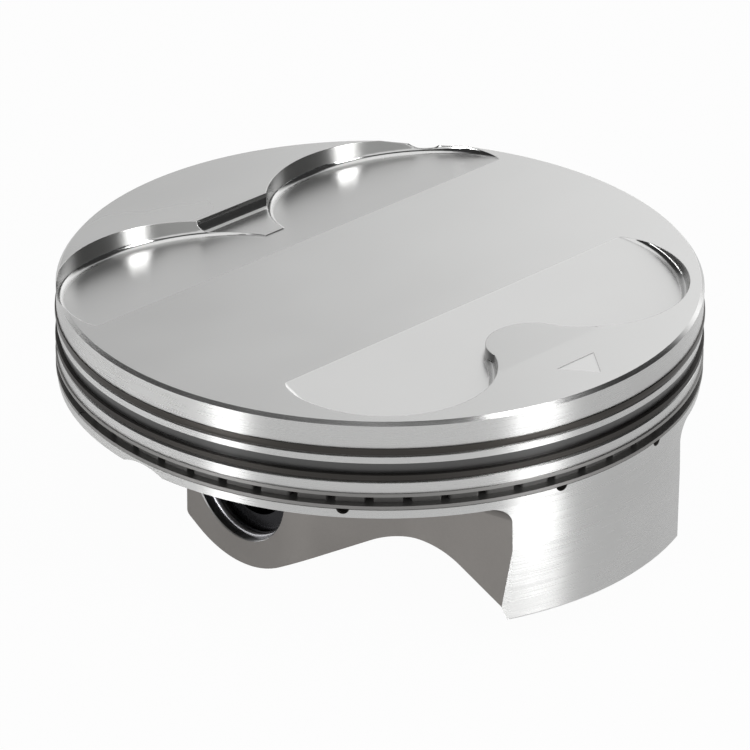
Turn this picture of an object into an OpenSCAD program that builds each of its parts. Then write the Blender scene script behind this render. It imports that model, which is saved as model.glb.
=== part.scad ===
// Forged four-valve piston with its ring pack, wrist pin and wire locks.
// Millimetres. The origin is the wrist pin's centre, X runs along the pin,
// -Y is the exhaust side, +Y is the intake side and +Z points at the crown.

/* [Cylinder fits] */
// Bore of the cylinder that the piston runs in
bore_d = 96; // [90:0.5:116]
// Radial gap between the ring lands and the cylinder
land_gap = 0.25; // [0.15:0.01:0.4]
// Radial gap between the skirts and the cylinder
skirt_gap = 0.04; // [0.02:0.01:0.1]
// Radial gap between the closed rings and the cylinder
ring_face_gap = 0.02; // [0.01:0.01:0.05]

/* [Ring belt] */
// Height of the land above the top ring
top_land_h = 4.0; // [3:0.05:5]
// Height of the land between the compression rings
second_land_h = 2.95; // [2.4:0.05:3.6]
// Height of the land above the oil ring
third_land_h = 1.75; // [1.4:0.05:2.4]
// Height of the land below the oil ring
bottom_land_h = 1.5; // [1:0.05:1.8]
// Height of each compression ring groove
comp_groove_h = 1.2; // [1:0.05:1.5]
// Height of the oil ring groove
oil_groove_h = 2.5; // [2:0.05:3]
// Depth of all three grooves below the lands
groove_depth = 3.9; // [3.6:0.05:4.2]
// Edge break on the upper corner of a land
land_chamfer = 0.25; // [0.1:0.05:0.4]
// Height of the second land's straight upper part
second_land_straight_h = 1.2; // [0.8:0.05:1.6]
// Radial loss of the second land at its tapered lower edge
second_land_taper = 0.4; // [0.1:0.05:0.6]
// Width of the edge break around the crown
rim_chamfer_w = 0.45; // [0.2:0.05:0.8]
// Height of the edge break around the crown
rim_chamfer_h = 0.55; // [0.2:0.05:0.8]
// Diameter of an oil drain hole
drain_d = 1.9; // [1.4:0.1:2.4]
// Angle of the drain holes beside the middle of each skirt
drain_inner_angle = 12; // [8:1:18]
// Angle of the drain holes past the edge of each skirt
drain_outer_angle = 51; // [44:1:56]

/* [Crown] */
// Height of the crown above the pin axis
compression_h = 23.7; // [19.5:0.1:29]
// Thickness of the crown over the rod space
crown_t = 7.5; // [6.5:0.1:8.5]
// Distance of the intake valve axes from the middle plane
intake_x = 21.3; // [20:0.1:22]
// Distance of the intake floor's upper edge from the pin plane
intake_edge_y = 15.9; // [13:0.1:17]
// Distance of the intake valve axes past that edge
intake_axis_offset = 0; // [0:0.1:2]
// Radius of an intake valve pocket
intake_r = 21.2; // [18:0.1:21.2]
// Slope of the intake pocket floors
intake_angle = 9; // [6:0.5:10]
// Distance of the exhaust valve axes from the middle plane
exhaust_x = 20.3; // [19:0.1:21]
// Distance of the exhaust floor's upper edge from the pin plane
exhaust_edge_y = 15.8; // [13:0.1:17]
// Distance of the exhaust valve axes past that edge
exhaust_axis_offset = 5.4; // [4.5:0.1:6]
// Radius of an exhaust valve pocket
exhaust_r = 16.1; // [14:0.1:16.6]
// Slope of the exhaust pocket floors
exhaust_angle = 9; // [6:0.5:10]
// Fillet at the foot of a pocket wall
pocket_fillet = 1; // [0.5:0.1:1.5]
// Depth of the ledge between the intake pockets at its front edge
ledge_depth = 0.9; // [0.5:0.05:1.2]
// Slope of the ledge's floor
ledge_angle = 6; // [3:0.5:7]
// Fillet at the foot of the ledge's straight step
ledge_fillet = 1.6; // [0.5:0.1:1.8]
// Distance of the ledge's straight step from the pin plane
ledge_y = 31.9; // [29:0.1:33]
// Radius of the nose between the exhaust pockets
nose_r = 6.9; // [6:0.1:7.5]
// Distance of the nose's tip from the pin plane
nose_tip_y = 24.3; // [23:0.1:26]
// Distance from the pin plane where the nose starts to fall to its tip
nose_ramp_y = 34.5; // [32:0.1:36]
// Slope of the top of the nose
nose_ramp_angle = 2.5; // [1:0.1:4]
// Distance of the exhaust arrow's base from the pin plane
arrow_base_y = 39.5; // [38.5:0.1:40.5]
// Width of the exhaust arrow
arrow_w = 7.5; // [5:0.1:8]
// Length of the exhaust arrow
arrow_l = 4.9; // [3:0.1:5.5]
// Depth of the exhaust arrow
arrow_depth = 0.04; // [0.03:0.01:0.2]

/* [Skirts and box walls] */
// Half of the angle that a skirt spans
skirt_half_angle = 21.5; // [19:0.1:24]
// Height over which the skirts swell out below the ring belt
skirt_swell_h = 7; // [4:0.5:10]
// Thickness of a skirt
skirt_t = 2.8; // [2.2:0.1:3.4]
// Depth of the skirts' lower edge below the crown
skirt_depth = 33.5; // [31:0.1:36]
// Edge break along the outside of the skirts' lower edge
skirt_chamfer = 0.4; // [0.2:0.05:0.6]
// Height of the toe at the lower corner of a skirt
toe_h = 1.7; // [1:0.1:2.5]
// Thickness of that toe at the bottom
toe_t = 0.7; // [0.65:0.05:1.5]
// Thickness of the box walls
wall_t = 3.2; // [2.6:0.1:4]
// Distance of the box walls from the middle plane at their waist
waist_x = 21.5; // [20.5:0.1:22.5]
// Distance of the waist on the exhaust side from the pin plane
exhaust_waist_y = 28.3; // [26:0.1:30]
// Distance of the waist on the intake side from the pin plane
intake_waist_y = 15.6; // [15:0.1:18]
// Fillet of the box walls at the exhaust waist
exhaust_waist_r = 14; // [10:0.5:16]
// Fillet of the box walls at the intake waist
intake_waist_r = 2.5; // [1.5:0.1:3]
// Fillet of the rod space at the intake waist
intake_waist_inner_r = 8; // [4:0.5:10]
// Fillet where a box wall meets the underside of the ring belt
wall_root_r = 2.9; // [2:0.1:3.5]
// Distance of the arch between boss and skirt from the pin plane
arch_y = 29.6; // [28:0.1:32]
// Radius of the arch
arch_r = 12.6; // [9:0.1:14]
// Slope of the arch on the boss side
arch_boss_angle = 30.5; // [27:0.5:34]
// Slope of the arch on the skirt side
arch_skirt_angle = 34.5; // [31:0.5:40]

/* [Pin bosses] */
// Distance of a boss's outer face from the middle plane
boss_face_x = 28.85; // [27.5:0.05:30]
// Distance of a boss's inner face from the middle plane
boss_inner_x = 11; // [10:0.1:12.5]
// Thickness of a boss around the pin, seen from the rod space
boss_wall = 4.7; // [4.5:0.1:6]
// Thickness of a boss below the pin
boss_foot = 4.1; // [3.8:0.1:4.3]
// Radius of a boss's lower outline
boss_arc_r = 16.8; // [15.5:0.1:18]
// Reach of a boss's web past the pin on both sides
boss_web_rim = 2.5; // [1.5:0.1:3.5]
// Reach of a boss's outer face past the pin on the exhaust side
boss_exhaust_rim = 2.5; // [1.5:0.1:4]
// Reach of a boss's outer face past the pin on the intake side
boss_intake_rim = 1.9; // [1.5:0.1:4]
// Rounding of a boss's outer face on the exhaust side
boss_exhaust_r = 16; // [8:0.5:18]
// Rounding of a boss's outer face on the intake side
boss_intake_r = 1.5; // [1:0.1:2]
// Edge break at the mouth of the pin bore
bore_chamfer = 0.15; // [0.1:0.05:0.3]

/* [Under-crown pockets] */
// Wall between the ring grooves and the space under the crown
belt_wall = 3.5; // [3:0.1:4.5]
// Slanted corner between the crown's underside and the belt
crown_corner = 3; // [2:0.1:4]
// Depth below the belt where a skirt's inner face blends into it
skirt_blend_h = 3; // [2:0.1:4]
// Depth of the side pockets' ceiling below the crown
side_pocket_depth = 9.5; // [8.6:0.1:11]
// Half of the width of the side pockets
side_pocket_y = 30; // [27:0.1:31]

/* [Wrist pin] */
// Outer diameter of the wrist pin
pin_d = 19; // [18:0.1:20]
// Inner diameter of the wrist pin at its middle
pin_inner_d = 11; // [9:0.1:12]
// Inner diameter of the wrist pin at its ends
pin_mouth_d = 13; // [12:0.1:15]
// Length of the tapered mouth at each end of the pin
pin_mouth_l = 11; // [6:0.5:14]
// Edge break at the pin's ends
pin_chamfer = 0.5; // [0.2:0.05:0.8]
// Radial running gap between pin and boss
pin_gap = 0.02; // [0.01:0.01:0.04]
// Free play between the pin's end and a wire lock
pin_end_play = 0.15; // [0.1:0.01:0.3]

/* [Wire locks] */
// Diameter of the lock's wire
wire_d = 1.4; // [1.2:0.05:1.6]
// Distance of the lock's middle from the boss face
lock_inset = 2.15; // [1.8:0.05:2.6]
// Share of the wire's circle that is left open, as an angle
lock_opening = 60; // [40:1:80]
// Radial distance of the wire's middle outside the pin bore
lock_seat = 0.06; // [0:0.01:0.2]
// Gap between the wire and its groove
lock_gap = 0.04; // [0.02:0.01:0.08]

/* [Rings] */
// Clock angle of the top ring's end gap
top_gap_angle = 135; // [0:5:355]
// Clock angle of the second ring's end gap
second_gap_angle = 45; // [0:5:355]
// Clock angle of the upper rail's end gap
upper_gap_angle = 100; // [0:5:355]
// Clock angle of the expander's butted ends
expander_gap_angle = 130; // [0:5:355]
// Clock angle of the lower rail's end gap
lower_gap_angle = 160; // [0:5:355]
// Gap between a ring's flanks and its groove
ring_side_gap = 0.02; // [0.01:0.01:0.04]
// Radial gap behind a compression ring
ring_back_gap = 0.83; // [0.4:0.01:1.2]
// End gap of a closed ring
ring_end_gap = 0.35; // [0.2:0.05:0.6]
// Edge break at the lower corner of the top ring's face
ring_chamfer = 0.2; // [0.1:0.05:0.3]
// Height of the hook cut under the second ring's face
hook_h = 0.4; // [0.2:0.05:0.6]
// Radial depth of that hook
hook_w = 0.55; // [0.3:0.05:0.8]
// Height of an oil ring rail
rail_h = 0.5; // [0.4:0.05:0.6]
// Radial width of an oil ring rail
rail_w = 2.4; // [2:0.05:2.6]
// Number of waves in the oil ring expander
expander_waves = 54; // [36:1:72]
// Radial gap behind the expander's waves
expander_back_gap = 0.48; // [0.3:0.01:1.2]
// Thickness of the expander's strip
expander_t = 0.35; // [0.25:0.05:0.5]
// Radial distance of the expander's crests below the rail faces
expander_inset = 1.3; // [1:0.1:1.5]

/* [Hidden] */
$fn = 96;
arc_step = 3;
overlap = 1;
margin = 12;
reach = bore_d / 2 + margin;
land_r = bore_d / 2 - land_gap;
skirt_r = bore_d / 2 - skirt_gap;
ring_r = bore_d / 2 - ring_face_gap;
groove_r = land_r - groove_depth;
belt_inner_r = groove_r - belt_wall;
skirt_inner_r = skirt_r - skirt_t;
pin_bore_r = pin_d / 2 + pin_gap;

// Heights of the groove flanks and of the belt's underside
top_groove_z = compression_h - top_land_h;
second_land_z = top_groove_z - comp_groove_h;
second_groove_z = second_land_z - second_land_h;
third_land_z = second_groove_z - comp_groove_h;
oil_groove_z = third_land_z - third_land_h;
bottom_land_z = oil_groove_z - oil_groove_h;
belt_z = bottom_land_z - bottom_land_h;
skirt_z = compression_h - skirt_depth;
ceiling_z = compression_h - crown_t;
side_ceiling_z = compression_h - side_pocket_depth;

// Places that follow from the skirt's span
skirt_edge_x = skirt_r * sin(skirt_half_angle);
skirt_edge_y = skirt_r * cos(skirt_half_angle);

// Pin bosses
boss_r = pin_d / 2 + boss_wall;
boss_low = pin_d / 2 + boss_foot;
boss_web_y = pin_d / 2 + boss_web_rim;
boss_exhaust_y = pin_d / 2 + boss_exhaust_rim;
boss_intake_y = pin_d / 2 + boss_intake_rim;

// Wrist pin and wire locks
lock_x = boss_face_x - lock_inset;
lock_r = pin_bore_r + lock_seat;
lock_groove_r = lock_r + wire_d / 2 + lock_gap;
lock_groove_w = wire_d + 2 * lock_gap;
pin_half_l = lock_x - wire_d / 2 - pin_end_play;

// Ring sizes
ring_inner_r = groove_r + ring_back_gap;
comp_ring_h = comp_groove_h - 2 * ring_side_gap;
expander_h = oil_groove_h - 2 * rail_h - 4 * ring_side_gap;
lower_rail_z = bottom_land_z + ring_side_gap;
expander_z = lower_rail_z + rail_h + ring_side_gap;
upper_rail_z = expander_z + expander_h + ring_side_gap;

// Points on an arc about c from angle a0 to a1
function arc(c, r, a0, a1) =
    let (n = max(2, ceil(abs(a1 - a0) / arc_step)))
    [for (i = [0 : n]) c + r * [cos(a0 + (a1 - a0) * i / n), sin(a0 + (a1 - a0) * i / n)]];

function unit(v) = v / norm(v);
function angle_of(v) = atan2(v.y, v.x);
function short_turn(a) = a > 180 ? a - 360 : a < -180 ? a + 360 : a;

// The points that round corner p, between points a and b, to radius r
function round_corner(a, p, b, r) =
    let (u = unit(a - p), v = unit(b - p))
    let (half = acos(u * v) / 2)
    let (c = p + unit(u + v) * r / sin(half))
    let (a0 = angle_of(p + u * r / tan(half) - c), a1 = angle_of(p + v * r / tan(half) - c))
    arc(c, r, a0, a0 + short_turn(a1 - a0));

// A closed outline from [x, y, corner radius] rows
function rounded(rows) =
    let (n = len(rows), xy = [for (row = rows) [row.x, row.y]])
    [for (i = [0 : n - 1])
        each rows[i].z > 0
            ? round_corner(xy[(i + n - 1) % n], xy[i], xy[(i + 1) % n], rows[i].z)
            : [xy[i]]];

function mirror_x(rows) = [for (i = [len(rows) - 1 : -1 : 0]) [-rows[i].x, rows[i].y, rows[i].z]];

// The point at height y on the straight line from p through q
function along(p, q, y) = p + (q - p) * (y - p.y) / (q.y - p.y);

// Lies an extrusion down so that its x runs along Y, its y along Z and its length along X
module along_pin() { rotate([90, 0, 90]) children(); }

// A cylinder on the pin axis between two x values
module pin_axis_cylinder(r, x0, x1) { translate([x0, 0, 0]) rotate([0, 90, 0]) cylinder(r = r, h = x1 - x0); }

// Turned outer form: crown rim, lands, grooves and the gently barrelled skirt
module turned_blank() {
    floor_z = -boss_r - overlap;
    swell_z = belt_z - skirt_swell_h;
    taper_z = second_land_z - second_land_straight_h;
    rotate_extrude() polygon([
        [0, compression_h],
        [land_r - rim_chamfer_w, compression_h],
        [land_r, compression_h - rim_chamfer_h],
        [land_r, top_groove_z],
        [groove_r, top_groove_z],
        [groove_r, second_land_z],
        [land_r - land_chamfer, second_land_z],
        [land_r, second_land_z - land_chamfer],
        [land_r, taper_z],
        [land_r - second_land_taper, second_groove_z],
        [groove_r, second_groove_z],
        [groove_r, third_land_z],
        [land_r - land_chamfer, third_land_z],
        [land_r, third_land_z - land_chamfer],
        [land_r, oil_groove_z],
        [groove_r, oil_groove_z],
        [groove_r, bottom_land_z],
        [land_r - land_chamfer, bottom_land_z],
        [land_r, bottom_land_z - land_chamfer],
        [land_r, belt_z],
        [skirt_r, swell_z],
        [skirt_r, skirt_z + skirt_chamfer],
        [skirt_r - skirt_chamfer - overlap, skirt_z - overlap],
        [skirt_r - skirt_chamfer - overlap, floor_z],
        [0, floor_z]]);
}

// Half of the box outline in plan, from the exhaust side to the intake side
exhaust_waist = [waist_x, -exhaust_waist_y];
intake_waist = [waist_x, intake_waist_y];
exhaust_wall_end = along(exhaust_waist, [skirt_edge_x, -skirt_edge_y], -reach);
intake_wall_end = along(intake_waist, [skirt_edge_x, skirt_edge_y], reach);
box_half = [
    [exhaust_wall_end.x, exhaust_wall_end.y, 0],
    [exhaust_waist.x, exhaust_waist.y, exhaust_waist_r],
    [boss_face_x, -boss_exhaust_y, boss_exhaust_r],
    [boss_face_x, boss_intake_y, boss_intake_r],
    [intake_waist.x, intake_waist.y, intake_waist_r],
    [intake_wall_end.x, intake_wall_end.y, 0]];
box_inner_half = [
    [exhaust_wall_end.x - wall_t, exhaust_wall_end.y, 0],
    [exhaust_waist.x - wall_t, exhaust_waist.y, exhaust_waist_r],
    [intake_waist.x - wall_t, intake_waist.y, intake_waist_inner_r],
    [intake_wall_end.x - wall_t, intake_wall_end.y, 0]];

module plan_prism(half, z0, z1) {
    translate([0, 0, z0]) linear_extrude(z1 - z0) polygon(rounded(concat(half, mirror_x(half))));
}

// Lower outline of bosses, arches and skirts, seen along the pin
module side_outline() {
    centre = [0, boss_arc_r - boss_low];
    leave = centre + boss_arc_r * [sin(arch_boss_angle), -cos(arch_boss_angle)];
    crest_z = leave.y + (arch_y - leave.x) * tan(arch_boss_angle);
    foot_y = skirt_edge_y - toe_t;
    toe_y = min(foot_y, arch_y + (crest_z - skirt_z - toe_h) / tan(arch_skirt_angle));
    toe_z = crest_z - (toe_y - arch_y) * tan(arch_skirt_angle);
    half = rounded([
        [0, compression_h + reach, 0],
        [leave.x, leave.y, 0],
        [arch_y, crest_z, arch_r],
        [toe_y, toe_z, 0],
        [foot_y, skirt_z, 0],
        [reach, skirt_z, 0],
        [reach, compression_h + reach, 0]]);
    edge = [for (i = [1 : len(half) - 1]) half[i]];
    boss_arc = arc(centre, boss_arc_r, -90 - arch_boss_angle, -90 + arch_boss_angle);
    polygon(concat(
        [for (i = [len(edge) - 1 : -1 : 1]) [-edge[i].x, edge[i].y]],
        boss_arc,
        [for (i = [1 : len(edge) - 1]) edge[i]]));
}

// Concave fillet along a box wall, below the ring belt
module wall_root(start, side) {
    run = [skirt_edge_x, side * skirt_edge_y] - start;
    bite = 0.3;
    sink = 0.05;
    middle = wall_root_r - sink;
    profile = concat(
        [[-bite, bite], [middle, bite]],
        arc([middle, -middle], wall_root_r, 90, 180),
        [[-bite, -middle]]);
    translate([start.x, start.y, belt_z])
        rotate([0, 0, angle_of(run)])
            mirror([0, side > 0 ? 1 : 0, 0])
                rotate([90, 0, 90])
                    linear_extrude(norm(run) + 2 * wall_root_r) polygon(profile);
}

module wall_roots() {
    past_pocket = 1.2;
    start_y = side_pocket_y + past_pocket;
    for (side = [0, 1]) mirror([side, 0, 0]) {
        wall_root(along(exhaust_waist, [skirt_edge_x, -skirt_edge_y], -start_y), -1);
        wall_root(along(intake_waist, [skirt_edge_x, skirt_edge_y], start_y), 1);
    }
}

// Pin boss, seen from inside the rod space, with its web up to the crown
module boss_cores() {
    for (side = [0, 1]) mirror([side, 0, 0]) {
        pin_axis_cylinder(boss_r, boss_inner_x, reach);
        translate([boss_inner_x, -boss_web_y, 0]) cube([reach, 2 * boss_web_y, compression_h]);
    }
}

// Space for the connecting rod: between the box walls, under the crown
module rod_space() {
    floor_z = -boss_r - 2 * overlap;
    difference() {
        intersection() {
            plan_prism(box_inner_half, floor_z, ceiling_z);
            rotate_extrude() polygon([
                [0, floor_z],
                [skirt_inner_r, floor_z],
                [skirt_inner_r, belt_z - skirt_blend_h],
                [belt_inner_r, bottom_land_z],
                [belt_inner_r, ceiling_z - crown_corner],
                [belt_inner_r - crown_corner, ceiling_z],
                [0, ceiling_z]]);
        }
        boss_cores();
    }
}

// Pockets milled up into the belt outside the box walls
module side_pockets() {
    difference() {
        intersection() {
            translate([0, 0, belt_z - overlap])
                cylinder(r = belt_inner_r, h = side_ceiling_z - belt_z + overlap);
            translate([-reach, -side_pocket_y, belt_z - 2 * overlap])
                cube([2 * reach, 2 * side_pocket_y, reach]);
        }
        plan_prism(box_half, belt_z - 2 * overlap, compression_h);
    }
}

// Bore through both bosses with its mouth chamfers and lock grooves
module pin_bore() {
    pin_axis_cylinder(pin_bore_r, -reach, reach);
    for (side = [0, 1]) mirror([side, 0, 0]) {
        pin_axis_cylinder(lock_groove_r, lock_x - lock_groove_w / 2, lock_x + lock_groove_w / 2);
        translate([boss_face_x - bore_chamfer, 0, 0]) rotate([0, 90, 0])
            cylinder(r1 = pin_bore_r, r2 = pin_bore_r + bore_chamfer + overlap, h = bore_chamfer + overlap);
    }
}

module drains() {
    for (turn = [-90, 90], angle = [drain_inner_angle, drain_outer_angle], side = [-1, 1])
        rotate([0, 0, turn + side * angle])
            translate([belt_inner_r - 2 * overlap, 0, bottom_land_z])
                rotate([0, 90, 0]) cylinder(d = drain_d, h = reach, $fn = 32);
}

// A valve's end mill: flat floor at z = 0 with a rounded foot
module pocket_mill(r) {
    rotate_extrude() {
        square([r - pocket_fillet, reach]);
        translate([0, pocket_fillet]) square([r, reach - pocket_fillet]);
        translate([r - pocket_fillet, pocket_fillet]) circle(pocket_fillet);
    }
}

module intake_pockets() {
    join_w = 8;
    lip = 0.1;
    past_lip = 0.4;
    join_l = (ledge_depth + lip) / tan(intake_angle);
    ledge_start = intake_edge_y + join_l;
    ledge_l = (ledge_y - ledge_start - ledge_depth * tan(ledge_angle)) * cos(ledge_angle);
    translate([0, intake_edge_y, compression_h]) rotate([-intake_angle, 0, 0]) {
        for (side = [0, 1]) mirror([side, 0, 0])
            translate([-intake_x, intake_axis_offset, 0]) pocket_mill(intake_r);
        translate([-join_w / 2, -overlap, 0]) cube([join_w, join_l + overlap + past_lip, reach]);
    }
    translate([-intake_x / 2, ledge_start, compression_h - ledge_depth]) rotate([-ledge_angle, 0, 0])
        along_pin() linear_extrude(intake_x) polygon(concat(
            [[0, reach], [0, 0]],
            arc([ledge_l - ledge_fillet, ledge_fillet], ledge_fillet, -90, 0),
            [[ledge_l, reach]]));
}

module exhaust_pockets() {
    nose_y = nose_tip_y + nose_r;
    to_pocket = unit([exhaust_x, nose_y - exhaust_edge_y - exhaust_axis_offset]);
    shoulder_y = nose_y - nose_r * to_pocket.y;
    difference() {
        translate([0, -exhaust_edge_y, compression_h]) rotate([exhaust_angle, 0, 0]) {
            for (side = [0, 1]) mirror([side, 0, 0])
                translate([-exhaust_x, -exhaust_axis_offset, 0]) pocket_mill(exhaust_r);
            translate([-exhaust_x, exhaust_edge_y - shoulder_y, 0])
                cube([2 * exhaust_x, shoulder_y - exhaust_edge_y + overlap, reach]);
        }
        translate([0, -nose_y, 0]) cylinder(r = nose_r, h = 2 * reach);
    }
    translate([0, -nose_ramp_y, compression_h]) rotate([-nose_ramp_angle, 0, 0])
        translate([-exhaust_x / 2, 0, 0]) cube([exhaust_x, nose_ramp_y - nose_tip_y + overlap, reach]);
}

module exhaust_arrow() {
    translate([0, -arrow_base_y, compression_h - arrow_depth])
        linear_extrude(reach) polygon([[-arrow_w / 2, 0], [0, -arrow_l], [arrow_w / 2, 0]]);
}

module piston_body() {
    color("silver") difference() {
        intersection() {
            turned_blank();
            along_pin() translate([0, 0, -reach]) linear_extrude(2 * reach) side_outline();
            union() {
                translate([0, 0, belt_z]) cylinder(r = reach, h = reach);
                plan_prism(box_half, -reach, belt_z + overlap);
                wall_roots();
            }
        }
        rod_space();
        side_pockets();
        pin_bore();
        drains();
        intake_pockets();
        exhaust_pockets();
        exhaust_arrow();
    }
}

// A closed ring from its section, with its end gap at the given angle
module split_ring(gap_angle) {
    gap_turn = ring_end_gap / ring_r * 180 / PI;
    rotate([0, 0, gap_angle + gap_turn / 2]) rotate_extrude(angle = 360 - gap_turn) children();
}

module top_compression_ring() {
    crown_of_face = 0.03;
    z = second_land_z + ring_side_gap;
    color("dimgray") split_ring(top_gap_angle)
        translate([0, z]) polygon([
            [ring_inner_r, 0],
            [ring_r - crown_of_face - ring_chamfer, 0],
            [ring_r - crown_of_face, ring_chamfer],
            [ring_r, comp_ring_h / 2],
            [ring_r - crown_of_face, comp_ring_h],
            [ring_inner_r, comp_ring_h]]);
}

module second_compression_ring() {
    face_taper = 0.03;
    z = third_land_z + ring_side_gap;
    color("dimgray") split_ring(second_gap_angle)
        translate([0, z]) polygon([
            [ring_inner_r, 0],
            [ring_r - hook_w, 0],
            [ring_r - hook_w, hook_h],
            [ring_r, hook_h],
            [ring_r - face_taper, comp_ring_h],
            [ring_inner_r, comp_ring_h]]);
}

module rail(z, gap_angle) {
    split_ring(gap_angle)
        translate([ring_r - rail_w, z]) square([rail_w, rail_h]);
}

module oil_ring_upper_rail() { color("gray") rail(upper_rail_z, upper_gap_angle); }

module oil_ring_lower_rail() { color("gray") rail(lower_rail_z, lower_gap_angle); }

// A strip crimped into waves that holds the two rails apart
module oil_ring_expander() {
    crest = ring_r - expander_inset;
    root = groove_r + expander_back_gap + expander_t;
    butt_turn = ring_end_gap / crest * 180 / PI;
    count = 2 * expander_waves;
    function at(i, shift) =
        let (a = expander_gap_angle + butt_turn / 2 + (360 - butt_turn) * i / count)
        ((i % 2 == 0 ? root : crest) + shift) * [cos(a), sin(a)];
    color("darkgray") translate([0, 0, expander_z]) linear_extrude(expander_h)
        polygon(concat(
            [for (i = [0 : count]) at(i, 0)],
            [for (i = [count : -1 : 0]) at(i, -expander_t)]));
}

module wrist_pin() {
    color("#303030") rotate([0, 90, 0]) rotate_extrude() {
        end = pin_half_l;
        polygon([
            [pin_inner_d / 2, -end + pin_mouth_l],
            [pin_mouth_d / 2, -end],
            [pin_d / 2 - pin_chamfer, -end],
            [pin_d / 2, -end + pin_chamfer],
            [pin_d / 2, end - pin_chamfer],
            [pin_d / 2 - pin_chamfer, end],
            [pin_mouth_d / 2, end],
            [pin_inner_d / 2, end - pin_mouth_l]]);
    }
}

// Round wire lock with its opening towards the crown
module wire_lock(x) {
    color("slategray") translate([x, 0, 0]) rotate([0, -90, 0]) rotate([0, 0, lock_opening / 2])
        rotate_extrude(angle = 360 - lock_opening)
            translate([lock_r, 0]) circle(d = wire_d, $fn = 48);
}

module wire_lock_left() { wire_lock(-lock_x); }

module wire_lock_right() { wire_lock(lock_x); }

piston_body();
top_compression_ring();
second_compression_ring();
oil_ring_upper_rail();
oil_ring_expander();
oil_ring_lower_rail();
wrist_pin();
wire_lock_left();
wire_lock_right();
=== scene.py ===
"""A forged four-valve piston with its rings, wrist pin and wire locks: finishes, stage and camera."""

import math

import bmesh
import bpy
from bpy.props import FloatProperty, FloatVectorProperty, IntProperty, PointerProperty
from bpy.types import Operator, Panel, PropertyGroup
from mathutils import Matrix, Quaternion, Vector


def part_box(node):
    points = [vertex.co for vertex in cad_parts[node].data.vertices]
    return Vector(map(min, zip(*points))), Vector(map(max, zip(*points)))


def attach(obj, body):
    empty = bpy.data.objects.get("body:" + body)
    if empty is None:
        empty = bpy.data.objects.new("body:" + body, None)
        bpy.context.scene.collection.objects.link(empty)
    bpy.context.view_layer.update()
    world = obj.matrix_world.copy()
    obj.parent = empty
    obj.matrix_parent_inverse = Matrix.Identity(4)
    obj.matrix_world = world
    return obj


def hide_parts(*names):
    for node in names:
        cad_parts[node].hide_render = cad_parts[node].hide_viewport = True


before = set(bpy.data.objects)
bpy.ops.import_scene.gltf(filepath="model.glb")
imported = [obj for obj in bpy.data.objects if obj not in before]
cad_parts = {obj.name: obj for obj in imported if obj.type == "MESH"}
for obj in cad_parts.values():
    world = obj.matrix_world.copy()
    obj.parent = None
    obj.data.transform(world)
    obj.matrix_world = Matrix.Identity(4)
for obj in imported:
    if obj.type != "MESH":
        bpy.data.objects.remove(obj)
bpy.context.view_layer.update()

bl_info = {
    "name": "Forged Piston",
    "version": (1, 0, 0),
    "blender": (4, 5, 0),
    "location": "3D View > Sidebar > Piston",
    "description": "Finishes a forged piston with its rings, wrist pin and wire locks, and sets its stage",
    "category": "Object",
}

MM = 0.001

# Side of the square picture in pixels, and width of the camera's sensor in millimetres
PICTURE_SIZE = 750
SENSOR_WIDTH = 36.0

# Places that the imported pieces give, in metres
BODY_LOW, BODY_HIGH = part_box("piston_body")
TOP_RING_LOW, TOP_RING_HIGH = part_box("top_compression_ring")
SECOND_RING_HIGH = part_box("second_compression_ring")[1]
LOWER_RAIL_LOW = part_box("oil_ring_lower_rail")[0]
EXPANDER_LOW, EXPANDER_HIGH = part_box("oil_ring_expander")
PIN_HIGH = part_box("wrist_pin")[1]
CROWN_Z = BODY_HIGH.z
FLOOR_Z = BODY_LOW.z
LAND_R = BODY_HIGH.x
PIN_R = PIN_HIGH.z

# Bounds that sort the body's faces by their finish
LAND_MARGIN = 0.5 * MM
GROOVE_MARGIN = 0.1 * MM
GROOVES_HIGH = TOP_RING_HIGH.z + GROOVE_MARGIN
GROOVES_LOW = LOWER_RAIL_LOW.z - GROOVE_MARGIN
GROOVE_ROOT_R = LAND_R - 4 * MM
POCKETS_LOW = GROOVES_HIGH - 2.2 * MM
POCKET_TILT = 0.12
ARROW_Y = -38 * MM
ARROW_HALF_WIDTH = 5 * MM
ARROW_HIGH = CROWN_Z - 0.01 * MM
ARROW_LOW = CROWN_Z - 0.1 * MM
BORE_R = PIN_R + 1.2 * MM
BOSS_FACE_X = PIN_HIGH.x + 2 * MM
BOX_WALL_X = 15 * MM

# Parts of a face's unit normal that sort it further: outwards, upwards or along the pin
OUTSIDE_OUT = 0.4
EDGE_UP = 0.4
TAPER_UP = -0.15
FLOOR_UP = 0.9
POCKET_WALL_UP = -0.2
ARROW_FLOOR_UP = 0.9999
ARROW_WALL_UP = 0.5
BORE_OUT = 0.2
BOSS_FACE_SIDE = 0.9
BOX_WALL_SIDE = 0.25

# Corners that are merged, and the angle below which the facets of a round wall are shaded as one
MERGE_DISTANCE = 0.001 * MM
FACET_ANGLE = math.radians(10)
FACET_FLATNESS = 0.99999

# Shares of the floor's plain white that the camera and the reflections see
FLOOR_SEEN = 0.97
FLOOR_MIRRORED = 0.58

# Where the studio's walls begin and end, as parts of a unit direction
WALL_SPLIT = (-0.06, 0.09)
BACK_WALL_EDGE = (0.45, 0.75)
FRONT_WALL_EDGE = (0.68, 0.80)
FRONT_WALL_TOP = (0.50, 0.62)
CEILING_EDGE = (0.80, 0.90)

# Brightness of the back wall at its foot, and its loss towards the top
WALL_FOOT = 1.78
WALL_FADE = 1.28

# Lamps: degrees round from the camera, degrees up, width and height in metres
LAMPS = {
    "right_strip": (53, 6, 0.214, 0.15),
    "right_screen": (53, 35, 0.2, 0.25),
    "left_strip": (-49.5, 6, 0.135, 0.15),
    "left_panel": (-88, 6, 0.9, 0.15),
}
LAMP_DISTANCE = 0.7

# Half the length of a bend in the expander's strip, as a share of half a wave
BEND_SHARE = 0.1

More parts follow.
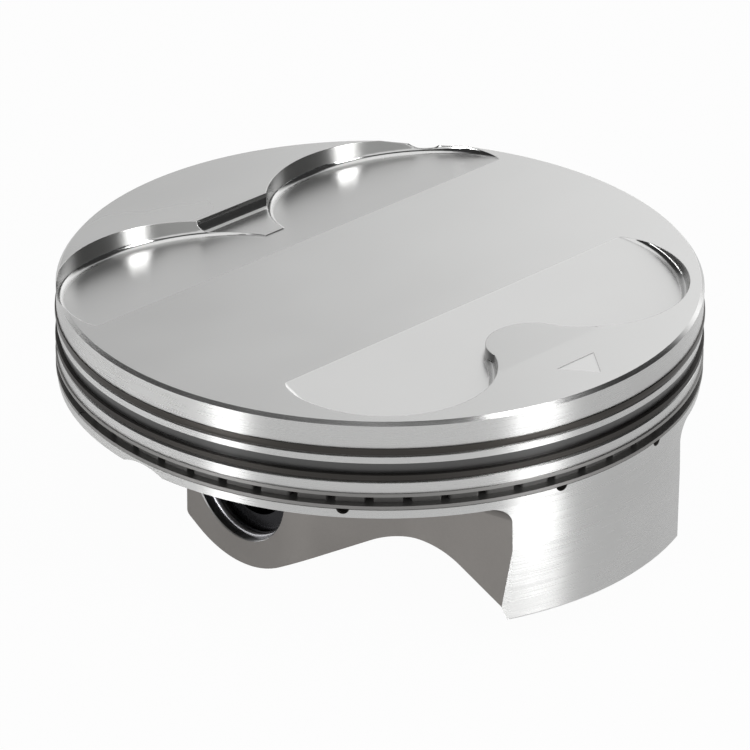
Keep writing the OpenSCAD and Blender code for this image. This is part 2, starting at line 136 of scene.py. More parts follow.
# Waves whose ends lie this close are joined, and edges above this angle stay sharp
WAVE_JOIN = 0.004 * MM
STRIP_EDGE_ANGLE = math.radians(40)


class PistonStage(PropertyGroup):
    """Camera, lights and floor."""

    view_azimuth: FloatProperty(
        name="View Azimuth", description="Compass angle of the camera round the piston",
        default=math.radians(-45.0), subtype="ANGLE")
    view_elevation: FloatProperty(
        name="View Elevation", description="Angle of the camera above the crown's plane",
        default=math.radians(25.87), subtype="ANGLE")
    view_roll: FloatProperty(
        name="View Roll", description="Turn of the camera about its line of sight",
        default=math.radians(0.51), subtype="ANGLE")
    view_distance: FloatProperty(
        name="View Distance", description="Distance of the camera from the middle of the crown",
        default=0.764, unit="LENGTH")
    focal_pixels: FloatProperty(
        name="Focal Length in Pixels", description="Focal length in pixels of the square picture",
        default=5186.0)
    crown_pixel: FloatVectorProperty(
        name="Crown Pixel", description="Pixel of the picture where the middle of the crown lies",
        size=2, default=(380.2, 273.4))
    floor_colour: FloatVectorProperty(
        name="Floor Colour", description="Colour of the floor", subtype="COLOR",
        size=3, default=(0.5, 0.5, 0.5), min=0, max=1)
    floor_size: FloatProperty(
        name="Floor Size", description="Side of the square floor", default=8.0, unit="LENGTH")
    right_strip: FloatProperty(
        name="Right Strip", description="Brightness of the low strip light on the right",
        default=19.0, min=0)
    right_screen: FloatProperty(
        name="Right Screen", description="Brightness of the screen above the right strip",
        default=8.0, min=0)
    left_strip: FloatProperty(
        name="Left Strip", description="Brightness of the low strip light on the left",
        default=26.0, min=0)
    left_panel: FloatProperty(
        name="Left Panel", description="Brightness of the wide panel beside the left strip",
        default=4.2, min=0)
    wall_left: FloatProperty(
        name="Left Back Wall", description="Brightness behind the piston on the left",
        default=0.5, min=0)
    wall_right: FloatProperty(
        name="Right Back Wall", description="Brightness behind the piston on the right",
        default=1.04, min=0)
    wall_front: FloatProperty(
        name="Front Wall", description="Brightness behind the camera", default=1.0, min=0)
    sides: FloatProperty(
        name="Dark Sides", description="Brightness of the dark room at both sides",
        default=0.04, min=0)
    ceiling: FloatProperty(
        name="Ceiling", description="Brightness overhead", default=1.2, min=0)


class PistonFinish(PropertyGroup):
    """Colours and marks of the metal surfaces."""

    aluminium: FloatVectorProperty(
        name="Aluminium", description="Colour of the machined aluminium", subtype="COLOR",
        size=3, default=(0.62, 0.62, 0.615), min=0, max=1)
    # Partly the box walls' own satin finish, partly painted shade under the overhang of the ring belt: the
    # colour is far darker than the aluminium.
    box_wall: FloatVectorProperty(
        name="Box Wall", description="Colour of the satin box walls and bosses", subtype="COLOR",
        size=3, default=(0.225, 0.214, 0.203), min=0, max=1)
    # Partly the rings' own dark coatings, partly painted shade: the rings are made very dark to stand for
    # the shade in the ring grooves.
    ring_steel: FloatVectorProperty(
        name="Ring Steel", description="Colour of the nitrided top ring", subtype="COLOR",
        size=3, default=(0.06, 0.056, 0.052), min=0, max=1)
    ring_iron: FloatVectorProperty(
        name="Ring Iron", description="Colour of the phosphated second ring", subtype="COLOR",
        size=3, default=(0.05, 0.047, 0.044), min=0, max=1)
    # Partly the oil ring's own steel, partly painted shade: the rails and the expander are darkened to
    # stand for the shade in the oil groove.
    rail_steel: FloatVectorProperty(
        name="Rail Steel", description="Colour of the oil ring's rails", subtype="COLOR",
        size=3, default=(0.26, 0.256, 0.25), min=0, max=1)
    strip_steel: FloatVectorProperty(
        name="Strip Steel", description="Colour of the oil ring's expander", subtype="COLOR",
        size=3, default=(0.13, 0.128, 0.125), min=0, max=1)
    # Partly the pin's black coating and the wire's own grey, partly painted shade: both are made dark to
    # stand for the shade inside the pin bore.
    pin_coating: FloatVectorProperty(
        name="Pin Coating", description="Colour of the wrist pin's hard black coating", subtype="COLOR",
        size=3, default=(0.035, 0.035, 0.038), min=0, max=1)
    spring_wire: FloatVectorProperty(
        name="Spring Wire", description="Colour of the wire locks", subtype="COLOR",
        size=3, default=(0.20, 0.20, 0.21), min=0, max=1)
    turning_pitch: FloatProperty(
        name="Turning Pitch", description="Distance between the turning marks",
        default=0.16 * MM, unit="LENGTH", precision=5)
    edge_break: FloatProperty(
        name="Edge Break", description="Radius that breaks the sharp edges",
        default=0.12 * MM, unit="LENGTH", precision=5)


class PistonExpander(PropertyGroup):
    """Sizes of the oil ring's crimped expander."""

    waves: IntProperty(
        name="Waves", description="Number of waves round the expander", default=54, min=12)
    thickness: FloatProperty(
        name="Thickness", description="Thickness of the strip",
        default=0.35 * MM, unit="LENGTH", precision=5)
    crest_share: FloatProperty(
        name="Crest Share", description="Share of a wave that its crest takes",
        default=0.8, min=0.2, max=0.9, subtype="FACTOR")
    wave_steps: IntProperty(
        name="Wave Steps", description="Points along one wave of the strip", default=49, min=9)
    gap_angle: FloatProperty(
        name="Gap Angle", description="Compass angle of the gap between the strip's ends",
        default=math.radians(130), subtype="ANGLE")
    end_gap: FloatProperty(
        name="End Gap", description="Gap between the strip's ends",
        default=0.35 * MM, unit="LENGTH", precision=5)


class Value:
    """One number that a node tree works out: Python operators on it add Math nodes."""

    def __init__(self, nodes, socket):
        self.nodes = nodes
        self.socket = socket

    def math(self, operation, *terms):
        node = self.nodes.node("ShaderNodeMath", {"operation": operation}, dict(enumerate(terms)))
        return Value(self.nodes, node.outputs["Value"])

    def __add__(self, other):
        return self.math("ADD", self, other)

    def __radd__(self, other):
        return self.math("ADD", other, self)

    def __sub__(self, other):
        return self.math("SUBTRACT", self, other)

    def __rsub__(self, other):
        return self.math("SUBTRACT", other, self)

    def __mul__(self, other):
        return self.math("MULTIPLY", self, other)

    def __rmul__(self, other):
        return self.math("MULTIPLY", other, self)

    def __truediv__(self, other):
        return self.math("DIVIDE", self, other)

    def __rtruediv__(self, other):
        return self.math("DIVIDE", other, self)

    def size(self):
        return self.math("ABSOLUTE", self)

    def sine(self):
        return self.math("SINE", self)

    def cosine(self):
        return self.math("COSINE", self)

    def clamp(self):
        return self.math("MINIMUM", self.math("MAXIMUM", self, 0.0), 1.0)

    def step(self, low, high):
        """0 below low, 1 above high and smooth between them."""
        node = self.nodes.node(
            "ShaderNodeMapRange", {"interpolation_type": "SMOOTHSTEP"},
            {"Value": self, "From Min": low, "From Max": high})
        return Value(self.nodes, node.outputs["Result"])


class Nodes:
    """A node tree that is built from plain values, sockets and worked-out values."""

    def __init__(self, tree):
        self.tree = tree

    def node(self, kind, settings=None, values=None):
        """Adds one node: its settings are set first, then the values or links of its sockets."""
        node = self.tree.nodes.new(kind)
        for name, setting in (settings or {}).items():
            setattr(node, name, setting)
        for name, value in (values or {}).items():
            self.feed(node.inputs[name], value)
        return node

    def feed(self, socket, value):
        if isinstance(value, Value):
            value = value.socket
        if isinstance(value, bpy.types.NodeSocket):
            self.tree.links.new(value, socket)
        else:
            socket.default_value = value

    def value(self, socket):
        return Value(self, socket)

    def point(self, x, y, z):
        return self.node("ShaderNodeCombineXYZ", None, {"X": x, "Y": y, "Z": z}).outputs["Vector"]


class Shader(Nodes):
    """The node tree of one material or of the world."""

    def __init__(self, owner):
        owner.use_nodes = True
        owner.node_tree.nodes.clear()
        super().__init__(owner.node_tree)

    def position(self):
        """The point of the surface in the piston's frame, in metres."""
        return self.node("ShaderNodeTexCoord").outputs["Object"]

    def parts(self, vector):
        """The x, y and z of a vector."""
        node = self.node("ShaderNodeSeparateXYZ", None, {"Vector": vector})
        return [Value(self, node.outputs[axis]) for axis in "XYZ"]

    def noise(self, vector, scale, detail=2.0, roughness=0.5):
        node = self.node(
            "ShaderNodeTexNoise", {"noise_dimensions": "3D"},
            {"Vector": vector, "Scale": scale, "Detail": detail, "Roughness": roughness})
        return Value(self, node.outputs["Fac"])

    def tint(self, colour, amount):
        """A colour made brighter or darker by a value."""
        return self.node(
            "ShaderNodeVectorMath", {"operation": "SCALE"},
            {0: tuple(colour)[:3], "Scale": amount}).outputs["Vector"]

    def edge_normal(self, edge_break):
        """Surface normal with a small round along the sharp edges."""
        return self.node("ShaderNodeBevel", {"samples": 8}, {"Radius": edge_break}).outputs["Normal"]

    def marked_normal(self, height, distance):
        """Surface normal with fine marks."""
        return self.node(
            "ShaderNodeBump", None, {"Height": height, "Distance": distance}).outputs["Normal"]

    def surface(self, values):
        """Ends the tree in a Principled surface."""
        principled = self.node("ShaderNodeBsdfPrincipled", None, values)
        self.node("ShaderNodeOutputMaterial", None, {"Surface": principled.outputs["BSDF"]})


def rgba(colour):
    """A plain colour with its alpha."""
    return (*tuple(colour)[:3], 1.0)


def scaled(colour, factor):
    """A plain colour made brighter or darker."""
    return tuple(part * factor for part in colour)


def new_material(name):
    material = bpy.data.materials.new(name)
    return material, Shader(material)


def turned_material(name, colour, finish, roughness, anisotropy, contrast):
    """Metal turned on a lathe: fine marks run round the Z axis."""
    material, shader = new_material(name)
    pitch = finish.turning_pitch
    round_share = 0.008
    wander = 0.4 * pitch
    place = shader.position()
    x, y, z = shader.parts(place)
    wobble = shader.noise(place, scale=60.0)
    marks = shader.noise(
        shader.point(x * round_share, y * round_share, z + wobble * wander),
        scale=1.0 / pitch, detail=3.0, roughness=0.65)
    cloud = shader.noise(place, scale=140.0, detail=3.0)
    shade = 1.0 + (marks - 0.5) * contrast + (cloud - 0.5) * (0.5 * contrast)
    shader.surface({
        "Base Color": shader.tint(colour, shade),
        "Metallic": 1.0,
        "Roughness": roughness + (marks - 0.5) * 0.12 + (cloud - 0.5) * 0.08,
        "Anisotropic": anisotropy,
        "Anisotropic Rotation": 0.25,
        "Normal": shader.marked_normal(marks, 0.004 * MM),
    })
    return material


def milled_material(name, colour, finish, roughness, cloudiness):
    """Flat faces cut by a mill: soft clouds that run along the pin."""
    material, shader = new_material(name)
    x, y, z = shader.parts(shader.position())
    cloud = shader.noise(shader.point(x * 0.6, y, z), scale=45.0, detail=3.0)
    shade = 1.0 + (cloud - 0.5) * cloudiness
    shader.surface({
        "Base Color": shader.tint(colour, shade),
        "Metallic": 1.0,
        "Roughness": roughness + (cloud - 0.5) * (0.6 * cloudiness),
        "Normal": shader.edge_normal(finish.edge_break),
    })
    return material


def blasted_material(name, colour, roughness):
    """Satin faces with a fine even pebble."""
    material, shader = new_material(name)
    place = shader.position()
    cloud = shader.noise(place, scale=70.0, detail=4.0, roughness=0.6)
    pebble = shader.noise(place, scale=2400.0, detail=3.0, roughness=0.6)
    shade = 1.0 + (cloud - 0.5) * 0.18 + (pebble - 0.5) * 0.12
    shader.surface({
        "Base Color": shader.tint(colour, shade),
        "Metallic": 1.0,
        "Roughness": roughness + (cloud - 0.5) * 0.1 + (pebble - 0.5) * 0.1,
        "Normal": shader.marked_normal(pebble, 0.008 * MM),
    })
    return material


def body_materials(finish):
    """The body's finishes, by the names that body_region gives; some are lighter or darker copies of the
    aluminium that paint light and shade.
    """

    def turned(name, brightness, **amounts):
        return turned_material(name, scaled(finish.aluminium, brightness), finish, **amounts)

    def milled(name, brightness, **amounts):
        return milled_material(name, scaled(finish.aluminium, brightness), finish, **amounts)

    def blasted(name, brightness, **amounts):
        return blasted_material(name, scaled(finish.box_wall, brightness), **amounts)

    return {
        "land": turned("turned_lands", 1.0, roughness=0.28, anisotropy=0.94, contrast=0.08),
        "edge": turned("turned_edges", 1.0, roughness=0.24, anisotropy=0.5, contrast=0.05),
        # Painted shade: the taper's aluminium is cut to a fifth of its brightness to stand for the dark
        # floor that it mirrors.
        "taper": turned("turned_taper_painted_shade", 0.2, roughness=0.3, anisotropy=0.9, contrast=0.08),
        # Painted shade: the ring grooves are the same aluminium made darker, as shade in the recesses.
        "groove": turned("turned_grooves_painted_shade", 0.7, roughness=0.4, anisotropy=0.8, contrast=0.12),
        "crown": milled("milled_crown", 1.0, roughness=0.26, cloudiness=0.16),
        # Painted light and shade: the crown's aluminium is made lighter on the exhaust floors and darker
        # on the intake floors and pocket walls.
        "exhaust_floor": milled("exhaust_floors_painted_light", 1.12, roughness=0.30, cloudiness=0.14),
        "intake_floor": milled("intake_floors_painted_shade", 0.98, roughness=0.35, cloudiness=0.10),
        "arrow": milled("milled_arrow", 1.12, roughness=0.30, cloudiness=0.05),
        "pocket_wall": milled("pocket_walls_painted_shade", 0.95, roughness=0.14, cloudiness=0.04),
        # The box walls and the under-crown take the box-wall colour, which holds painted shade under the
        # ring belt.
        "box_wall": blasted("satin_box_walls_painted_shade", 1.0, roughness=0.48),
        "under_crown": blasted("blasted_under_crown_painted_shade", 1.1, roughness=0.48),
        # Painted shade: the pin bore is the same aluminium made darker, as shade inside the bore.
        "pin_bore": turned("honed_pin_bore_painted_shade", 0.8, roughness=0.3, anisotropy=0.0, contrast=0.08),
    }


def outer_region(centre, normal):
    """The finish on an outside face of the ring belt or a skirt."""
    if normal.z > EDGE_UP:
        return "edge"
    # The second land's taper gets the darkened copy of the aluminium, with painted shade.
    if normal.z < TAPER_UP and SECOND_RING_HIGH.z < centre.z < TOP_RING_LOW.z:
        return "taper"
    return "land"


def floor_region(normal):
    """The finish on an upward face of the crown: the pocket floors tilt to their own side."""
    if normal.y > POCKET_TILT:
        return "intake_floor"
    if normal.y < -POCKET_TILT:
        return "exhaust_floor"
    return "crown"


def in_arrow(centre, normal):
    """True on the floor and the walls of the shallow arrow in the crown."""
    near = centre.y < ARROW_Y and abs(centre.x) < ARROW_HALF_WIDTH
    cut = normal.z > ARROW_FLOOR_UP or normal.z < ARROW_WALL_UP
    return near and cut and ARROW_LOW < centre.z < ARROW_HIGH


def in_pin_bore(centre, normal):
    """True on the bore's wall and its lock grooves, and not on the outer face of a boss."""
    from_pin = math.hypot(centre.y, centre.z)
    inward = centre.y * normal.y + centre.z * normal.z < BORE_OUT * from_pin
    on_boss_face = abs(centre.x) > BOSS_FACE_X and abs(normal.x) > BOSS_FACE_SIDE
    return from_pin < BORE_R and inward and not on_boss_face


def body_region(centre, normal):
    """The name of the finish on a face of the body."""
    radius = math.hypot(centre.x, centre.y)
    radial = (centre.x * normal.x + centre.y * normal.y) / max(radius, MM)
    if radius > LAND_R - LAND_MARGIN and radial > OUTSIDE_OUT:
        return outer_region(centre, normal)
    if radius > GROOVE_ROOT_R and GROOVES_LOW < centre.z < GROOVES_HIGH:
        return "groove"
    if in_arrow(centre, normal):
        return "arrow"
    on_top = centre.z > GROOVES_HIGH or (centre.z > POCKETS_LOW and radius < GROOVE_ROOT_R)
    if on_top and normal.z > FLOOR_UP:
        return floor_region(normal)
    if on_top and normal.z > POCKET_WALL_UP:
        return "pocket_wall"
    if in_pin_bore(centre, normal):
        return "pin_bore"
    faces_out = centre.x * normal.x > 0 and abs(normal.x) > BOX_WALL_SIDE
    if faces_out and abs(centre.x) > BOX_WALL_X:
        return "box_wall"
    return "under_crown"


def packed(node):
    """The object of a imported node."""
    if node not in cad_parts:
        raise RuntimeError(f"The frame has no node {node}")
    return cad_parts[node]


def merged_copy(node, name):
    """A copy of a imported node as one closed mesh, and the node's exact normals at its corners."""
    mesh = packed(node).data.copy()
    mesh.name = name
    exact = mesh.attributes.new("exact_normal", "FLOAT_VECTOR", "CORNER")
    exact.data.foreach_set("vector", [part for corner in mesh.corner_normals for part in corner.vector])
    work = bmesh.new()
    work.from_mesh(mesh)
    bmesh.ops.remove_doubles(work, verts=work.verts, dist=MERGE_DISTANCE)
    for face in work.faces:
        face.smooth = True
    work.to_mesh(mesh)
    work.free()
    normals = [item.vector.copy() for item in mesh.attributes["exact_normal"].data]
    mesh.attributes.remove(mesh.attributes["exact_normal"])
    return mesh, normals


def smooth_facets(mesh, normals, regions):
    """Blends the corner normals of the narrow flat strips that stand for round walls in some regions."""
    flat = [
        face for face in mesh.polygons if face.material_index in regions
        and min(normals[corner].dot(face.normal) for corner in face.loop_indices) > FACET_FLATNESS]
    around = [[] for _ in mesh.vertices]
    for face in flat:
        for vertex in face.vertices:
            around[vertex].append(face)
    limit = math.cos(FACET_ANGLE)
    for face in flat:
        for corner, vertex in zip(face.loop_indices, face.vertices):
            total = Vector()
            for other in around[vertex]:
                if other.normal.dot(face.normal) > limit:
                    total += other.normal * other.area
            if total.length > 0:
                normals[corner] = total.normalized()


def link(obj):
    bpy.context.scene.collection.objects.link(obj)
    return obj


def set_material(node, material):
    """Gives a carried-over node its finish."""
    mesh = packed(node).data
    mesh.materials.clear()
    mesh.materials.append(material)


def make_floor(settings):
    """A wide floor that looks white and keeps the piston's shadow."""
    half = settings.floor_size / 2
    mesh = bpy.data.meshes.new("floor")
    corners = [(x, y, FLOOR_Z) for x, y in ((-half, -half), (half, -half), (half, half), (-half, half))]
    mesh.from_pydata(corners, [], [(0, 1, 2, 3)])
    material, shader = new_material("pale_floor")
    path = shader.node("ShaderNodeLightPath")
    seen = shader.value(path.outputs["Is Camera Ray"])
    glossy = shader.value(path.outputs["Is Glossy Ray"])
    passing = shader.value(path.outputs["Is Transmission Ray"])
    white = (seen * FLOOR_SEEN + (glossy + passing) * FLOOR_MIRRORED).clamp()
    lit = shader.node("ShaderNodeBsdfDiffuse", None, {"Color": rgba(settings.floor_colour)})
    glow = shader.node("ShaderNodeEmission", None, {"Color": rgba((1, 1, 1)), "Strength": 1.0})
    both = shader.node(
        "ShaderNodeMixShader", None, {0: white, 1: lit.outputs["BSDF"], 2: glow.outputs["Emission"]})
    shader.node("ShaderNodeOutputMaterial", None, {"Surface": both.outputs["Shader"]})
    mesh.materials.append(material)
    link(bpy.data.objects.new("floor", mesh))


def make_world(scene, settings):
    """A studio with dark sides, walls behind the piston and the camera, and a bright ceiling."""
    world = bpy.data.worlds.new("studio")
    scene.world = world
    shader = Shader(world)
    x, y, z = shader.parts(shader.node("ShaderNodeTexCoord").outputs["Generated"])
    sine, cosine = math.sin(settings.view_azimuth), math.cos(settings.view_azimuth)
    right = x * cosine + y * sine
    behind = y * cosine - x * sine
    wall = settings.wall_left + (settings.wall_right - settings.wall_left) * right.step(*WALL_SPLIT)
    wall = wall * (WALL_FOOT - WALL_FADE * z)
    level = settings.sides + (wall - settings.sides) * behind.step(*BACK_WALL_EDGE)
    front = (0.0 - behind).step(*FRONT_WALL_EDGE) * (1.0 - z.step(*FRONT_WALL_TOP))
    level = level + (settings.wall_front - settings.sides) * front
    level = level + (settings.ceiling - level) * z.step(*CEILING_EDGE)
    sky = shader.node("ShaderNodeBackground", None, {"Color": rgba((1, 1, 1)), "Strength": level})
    shader.node("ShaderNodeOutputWorld", None, {"Surface": sky.outputs["Background"]})


def direction_from(azimuth, elevation):
    """The direction from the piston to a point at a compass angle and a height angle."""
    flat = math.cos(elevation)
    return Vector((math.sin(azimuth) * flat, -math.cos(azimuth) * flat, math.sin(elevation)))


def make_softbox(name, azimuth, elevation, width, height, radiance):
    """A rectangular light that faces the piston."""
    light = bpy.data.lights.new(name, "AREA")
    light.shape = "RECTANGLE"
    light.size = width
    light.size_y = height
    light.energy = radiance * width * height * math.pi
    back = direction_from(azimuth, elevation)
    lamp = link(bpy.data.objects.new(name, light))
    lamp.location = back * LAMP_DISTANCE
    lamp.rotation_mode = "QUATERNION"
    lamp.rotation_quaternion = (-back).to_track_quat("-Z", "Y")
    lamp.visible_camera = False


def make_lights(settings):
    """Strips beside the camera give the white bands on the turned lands."""
    for name, (turn, rise, width, height) in LAMPS.items():
        azimuth = settings.view_azimuth + math.radians(turn)
        make_softbox(name, azimuth, math.radians(rise), width, height, getattr(settings, name))


def make_camera(scene, settings):
    """A camera that sees the middle of the crown at its pixel of the picture."""
    lens = bpy.data.cameras.new("camera")
    lens.sensor_width = SENSOR_WIDTH
    lens.lens = settings.focal_pixels / PICTURE_SIZE * SENSOR_WIDTH
    lens.clip_start = 0.01
    back = direction_from(settings.view_azimuth, settings.view_elevation)
    camera = link(bpy.data.objects.new("camera", lens))
    camera.location = Vector((0, 0, CROWN_Z)) + back * settings.view_distance
    column, row = settings.crown_pixel
    in_view = Vector((column - PICTURE_SIZE / 2, PICTURE_SIZE / 2 - row, -settings.focal_pixels))
    aim = in_view.rotation_difference(Vector((0, 0, -1)))
    roll = Quaternion((0, 0, 1), settings.view_roll)
    camera.rotation_mode = "QUATERNION"
    camera.rotation_quaternion = (-back).to_track_quat("-Z", "Y") @ roll @ aim
    scene.camera = camera


class PISTON_OT_stage(Operator):
    """Makes the floor, the lights, the world and the camera"""

    bl_idname = "piston.stage"
    bl_label = "Build Stage"

    def execute(self, context):
        settings = context.scene.piston_stage
        make_floor(settings)
        make_world(context.scene, settings)
        make_lights(settings)
        make_camera(context.scene, settings)
        context.scene.view_settings.view_transform = "Standard"
        return {"FINISHED"}


class PISTON_OT_body(Operator):
    """Makes the piston's body with its turned, milled and blasted faces"""

    bl_idname = "piston.body"
    bl_label = "Build Body"

    def execute(self, context):
        mesh, normals = merged_copy("piston_body", "forged_piston")
        mesh.materials.clear()
        materials = body_materials(context.scene.piston_finish)
        slots = {}
        for number, (name, material) in enumerate(materials.items()):
            mesh.materials.append(material)
            slots[name] = number
        for face in mesh.polygons:
            face.material_index = slots[body_region(face.center, face.normal)]
        smooth_facets(mesh, normals, {slots[name] for name in ("box_wall", "under_crown", "pocket_wall")})
        mesh.normals_split_custom_set(normals)
        body = link(bpy.data.objects.new("forged_piston", mesh))
        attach(body, "piston")
        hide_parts("piston_body")
        return {"FINISHED"}


class PISTON_OT_compression_rings(Operator):
    """Finishes the two compression rings"""

    bl_idname = "piston.compression_rings"
    bl_label = "Finish Compression Rings"

    def execute(self, context):
        finish = context.scene.piston_finish
        # Dark coatings with painted shade of the grooves.
        set_material("top_compression_ring", turned_material(
            "nitrided_steel_and_groove_shade", finish.ring_steel, finish, roughness=0.34, anisotropy=0.7, contrast=0.25))
        set_material("second_compression_ring", turned_material(
            "phosphated_iron_and_groove_shade", finish.ring_iron, finish, roughness=0.5, anisotropy=0.4, contrast=0.35))
        return {"FINISHED"}


EXPANDER_INPUTS = {
    "Waves": "NodeSocketInt",
    "Wave Steps": "NodeSocketInt",
    "Crest Radius": "NodeSocketFloat",
    "Root Radius": "NodeSocketFloat",
    "Crest Share": "NodeSocketFloat",
    "Thickness": "NodeSocketFloat",
    "Height": "NodeSocketFloat",
    "Middle Height": "NodeSocketFloat",
    "Gap Angle": "NodeSocketFloat",
    "Gap Turn": "NodeSocketFloat",
    "Material": "NodeSocketMaterial",
}


def expander_tree():
    """A node tree that bends one wave of a strip and repeats it round the ring."""
    tree = bpy.data.node_groups.new("crimped_expander", "GeometryNodeTree")
    for name, kind in EXPANDER_INPUTS.items():
        tree.interface.new_socket(name, in_out="INPUT", socket_type=kind)
    tree.interface.new_socket("Geometry", in_out="OUTPUT", socket_type="NodeSocketGeometry")
    nodes = Nodes(tree)
    inputs = nodes.node("NodeGroupInput").outputs
    given = {name: nodes.value(inputs[name]) for name in EXPANDER_INPUTS}
    index = nodes.value(nodes.node("GeometryNodeInputIndex").outputs["Index"])
    wave_turn = (math.tau - given["Gap Turn"]) / given["Waves"]

    along = index / (given["Wave Steps"] - 1.0) * 2.0 - 1.0
    rise = 1.0 - along.size().step(given["Crest Share"] - BEND_SHARE, given["Crest Share"] + BEND_SHARE)
    radius = given["Root Radius"] + (given["Crest Radius"] - given["Root Radius"]) * rise
    angle = along * wave_turn * 0.5
    place = nodes.point(radius * angle.cosine(), radius * angle.sine(), given["Middle Height"])
    line = nodes.node("GeometryNodeMeshLine", None, {"Count": given["Wave Steps"]})
    bent = nodes.node(
        "GeometryNodeSetPosition", None, {"Geometry": line.outputs["Mesh"], "Position": place})
    curve = nodes.node("GeometryNodeMeshToCurve", None, {"Mesh": bent.outputs["Geometry"]})
    upright = nodes.node("GeometryNodeSetCurveNormal", {"mode": "Z_UP"}, {"Curve": curve.outputs["Curve"]})
    section = nodes.node(
        "GeometryNodeCurvePrimitiveQuadrilateral", {"mode": "RECTANGLE"},
        {"Width": given["Thickness"], "Height": given["Height"]})
    wave = nodes.node(
        "GeometryNodeCurveToMesh", None,
        {"Curve": upright.outputs["Curve"], "Profile Curve": section.outputs["Curve"]})

    places = nodes.node("GeometryNodePoints", None, {"Count": given["Waves"], "Position": (0, 0, 0)})
    turn = given["Gap Angle"] + given["Gap Turn"] * 0.5 + (index + 0.5) * wave_turn
    turned = nodes.node("FunctionNodeEulerToRotation", None, {"Euler": nodes.point(0.0, 0.0, turn)})
    ring = nodes.node("GeometryNodeInstanceOnPoints", None, {
        "Points": places.outputs[0],
        "Instance": wave.outputs["Mesh"],
        "Rotation": turned.outputs["Rotation"],
    })
    real = nodes.node("GeometryNodeRealizeInstances", None, {"Geometry": ring.outputs["Instances"]})
    coated = nodes.node("GeometryNodeSetMaterial", None, {
        "Geometry": real.outputs["Geometry"],
        "Material": given["Material"],
    })
    nodes.node("NodeGroupOutput", None, {"Geometry": coated.outputs["Geometry"]})
    return tree


def weld(mesh):
    """Joins the waves of a strip and closes its two ends."""
    work = bmesh.new()
    work.from_mesh(mesh)
    bmesh.ops.remove_doubles(work, verts=work.verts, dist=WAVE_JOIN)
    bmesh.ops.holes_fill(work, edges=work.edges, sides=4)
    bmesh.ops.recalc_face_normals(work, faces=work.faces)
    for face in work.faces:
        face.smooth = True
    work.to_mesh(mesh)
    work.free()
    mesh.set_sharp_from_angle(angle=STRIP_EDGE_ANGLE)


def make_expander(settings, material):
    """The oil ring's crimped strip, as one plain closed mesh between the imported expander's radii."""
    radii = [math.hypot(vertex.co.x, vertex.co.y) for vertex in packed("oil_ring_expander").data.vertices]
    crest = max(radii) - settings.thickness / 2
    given = {
        "Waves": settings.waves,
        "Wave Steps": settings.wave_steps,
        "Crest Radius": crest,
        "Root Radius": min(radii) + settings.thickness / 2,
        "Crest Share": settings.crest_share,
        "Thickness": settings.thickness,
        "Height": EXPANDER_HIGH.z - EXPANDER_LOW.z,
        "Middle Height": (EXPANDER_HIGH.z + EXPANDER_LOW.z) / 2,
        "Gap Angle": settings.gap_angle,
        "Gap Turn": settings.end_gap / crest,
        "Material": material,
    }
    tree = expander_tree()
    maker = link(bpy.data.objects.new("expander_maker", bpy.data.meshes.new("expander_maker")))
    modifier = maker.modifiers.new("crimped_expander", "NODES")
    modifier.node_group = tree
    for item in tree.interface.items_tree:
        if item.in_out == "INPUT":
            modifier[item.identifier] = given[item.name]
    depsgraph = bpy.context.evaluated_depsgraph_get()
    mesh = bpy.data.meshes.new_from_object(maker.evaluated_get(depsgraph))
    mesh.name = "crimped_expander"
    bpy.data.objects.remove(maker)
    weld(mesh)
    return link(bpy.data.objects.new("crimped_expander", mesh))


class PISTON_OT_oil_ring(Operator):
    """Finishes the oil ring's rails and makes its crimped expander"""

    bl_idname = "piston.oil_ring"
    bl_label = "Build Oil Ring"

    def execute(self, context):
        finish = context.scene.piston_finish
        # The rails and the strip carry painted shade of the oil groove besides their own steel grey.
        rail = turned_material(
            "rail_steel", finish.rail_steel, finish, roughness=0.42, anisotropy=0.5, contrast=0.2)
        for node in ("oil_ring_upper_rail", "oil_ring_lower_rail"):
            set_material(node, rail)
        strip = blasted_material("strip_steel", finish.strip_steel, roughness=0.5)
        expander = make_expander(context.scene.piston_expander, strip)
        if not expander.data.polygons:
            raise RuntimeError("The expander's strip has no faces")
        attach(expander, "expander")
        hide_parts("oil_ring_expander")
        return {"FINISHED"}


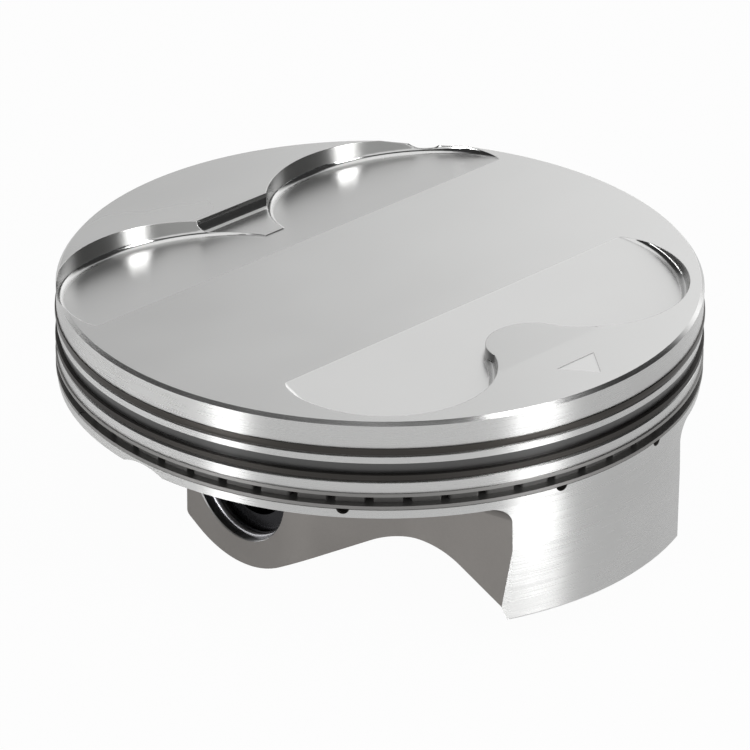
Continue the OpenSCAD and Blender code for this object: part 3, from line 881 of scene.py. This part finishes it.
class PISTON_OT_wrist_pin(Operator):
    """Finishes the wrist pin"""

    bl_idname = "piston.wrist_pin"
    bl_label = "Finish Wrist Pin"

    def execute(self, context):
        finish = context.scene.piston_finish
        # Black coating with painted shade of the bore.
        set_material("wrist_pin", blasted_material("black_coating_and_bore_shade", finish.pin_coating, roughness=0.28))
        return {"FINISHED"}


class PISTON_OT_wire_locks(Operator):
    """Finishes the two wire locks"""

    bl_idname = "piston.wire_locks"
    bl_label = "Finish Wire Locks"

    def execute(self, context):
        finish = context.scene.piston_finish
        # Spring wire with painted shade of the bore.
        wire = blasted_material("spring_wire", finish.spring_wire, roughness=0.3)
        for node in ("wire_lock_left", "wire_lock_right"):
            set_material(node, wire)
        return {"FINISHED"}


OPERATORS = (
    PISTON_OT_stage, PISTON_OT_body, PISTON_OT_compression_rings, PISTON_OT_oil_ring,
    PISTON_OT_wrist_pin, PISTON_OT_wire_locks)
GROUPS = {
    "piston_stage": PistonStage,
    "piston_finish": PistonFinish,
    "piston_expander": PistonExpander,
}


class PISTON_PT_panel(Panel):
    """Lists the piston's pieces and finishes"""

    bl_label = "Forged Piston"
    bl_idname = "PISTON_PT_panel"
    bl_space_type = "VIEW_3D"
    bl_region_type = "UI"
    bl_category = "Piston"

    def draw(self, context):
        for operator in OPERATORS:
            self.layout.operator(operator.bl_idname)
        for group in GROUPS:
            box = self.layout.box()
            settings = getattr(context.scene, group)
            for name in settings.__annotations__:
                box.prop(settings, name)


CLASSES = (*GROUPS.values(), *OPERATORS, PISTON_PT_panel)


def register():
    for cls in CLASSES:
        bpy.utils.register_class(cls)
    for name, group in GROUPS.items():
        setattr(bpy.types.Scene, name, PointerProperty(type=group))


def unregister():
    for name in GROUPS:
        delattr(bpy.types.Scene, name)
    for cls in reversed(CLASSES):
        bpy.utils.unregister_class(cls)


def main():
    register()
    bpy.ops.piston.stage()
    bpy.ops.piston.body()
    bpy.ops.piston.compression_rings()
    bpy.ops.piston.oil_ring()
    bpy.ops.piston.wrist_pin()
    bpy.ops.piston.wire_locks()


if __name__ == "__main__":
    main()
